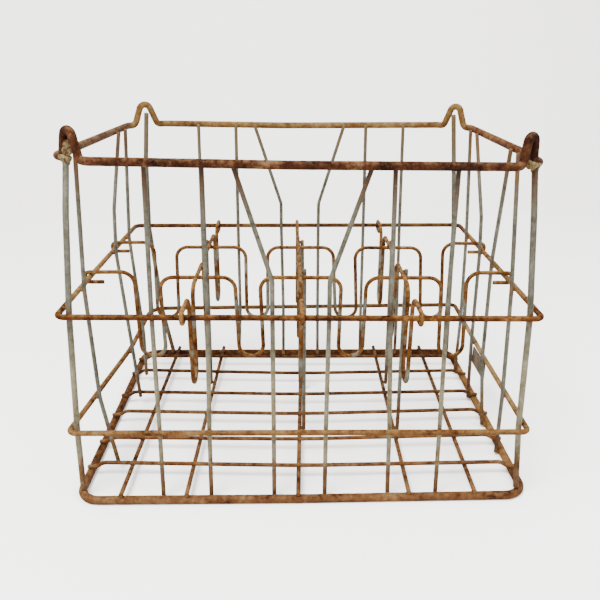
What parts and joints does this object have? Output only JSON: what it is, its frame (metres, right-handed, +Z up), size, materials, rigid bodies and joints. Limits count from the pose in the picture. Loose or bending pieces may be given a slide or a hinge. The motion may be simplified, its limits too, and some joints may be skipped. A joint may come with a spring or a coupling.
{
  "type": "milk bottle crate",
  "caption": "Welded round-wire milk bottle crate with stacking ears at the rim corners, cranked side wires, a wire floor and looped dividers hanging between the bottle cells.",
  "frame": {"origin": "centre of the crate's outline on the ground, at the underside of the base frame", "axes": "+X along the crate's long side, to the right seen from the front; +Y from the front wall to the rear wall; +Z up"},
  "size_m": [0.451, 0.3372, 0.3553],
  "materials": {
    "rim_rust": "matte, brown rust on round steel rod",
    "base_rust": "matte, dark mottled rust on round steel rod",
    "ring_rust": "matte, orange-brown rust on steel wire",
    "galvanised": "dull galvanised steel wire, rusting towards the floor",
    "divider_rust": "matte, orange-brown rust with worn galvanised patches",
    "floor_rust": "matte, dark rust on steel wire",
    "plate_metal": "blank stained sheet steel"
  },
  "bodies": {
    "root": {"base_frame": "base_rust", "column_divider_center": "divider_rust", "column_divider_left": "divider_rust", "column_divider_right": "divider_rust", "corner_post_front_left": "galvanised", "corner_post_front_right": "galvanised", "corner_post_rear_left": "galvanised", "corner_post_rear_right": "galvanised", "cross_wire_1": "floor_rust", "cross_wire_2": "floor_rust", "cross_wire_3": "floor_rust", "cross_wire_4": "floor_rust", "cross_wire_5": "floor_rust", "divider_leg_front_center": "galvanised", "divider_leg_front_right": "galvanised", "divider_leg_rear_center": "galvanised", "divider_leg_rear_left": "galvanised", "divider_leg_rear_right": "galvanised", "front_wire_1": "galvanised", "front_wire_2": "galvanised", "front_wire_3_cranked": "galvanised", "front_wire_4_cranked": "galvanised", "front_wire_5": "galvanised", "front_wire_6": "galvanised", "left_wire_1": "galvanised", "left_wire_2_cranked": "galvanised", "left_wire_3": "galvanised", "long_wire_1": "floor_rust", "long_wire_2": "floor_rust", "long_wire_3": "floor_rust", "long_wire_4": "floor_rust", "long_wire_5": "floor_rust", "long_wire_6": "floor_rust", "lower_ring": "ring_rust", "mid_ring": "ring_rust", "name_plate": "plate_metal", "rear_wire_1": "galvanised", "rear_wire_2": "galvanised", "rear_wire_3_cranked": "galvanised", "rear_wire_4_cranked": "galvanised", "rear_wire_5": "galvanised", "rear_wire_6": "galvanised", "right_wire_1": "galvanised", "right_wire_2_cranked": "galvanised", "right_wire_3_cranked": "galvanised", "right_wire_4": "galvanised", "row_divider_front": "divider_rust", "row_divider_rear": "divider_rust", "top_rim": "rim_rust"}
  },
  "joints": []
}
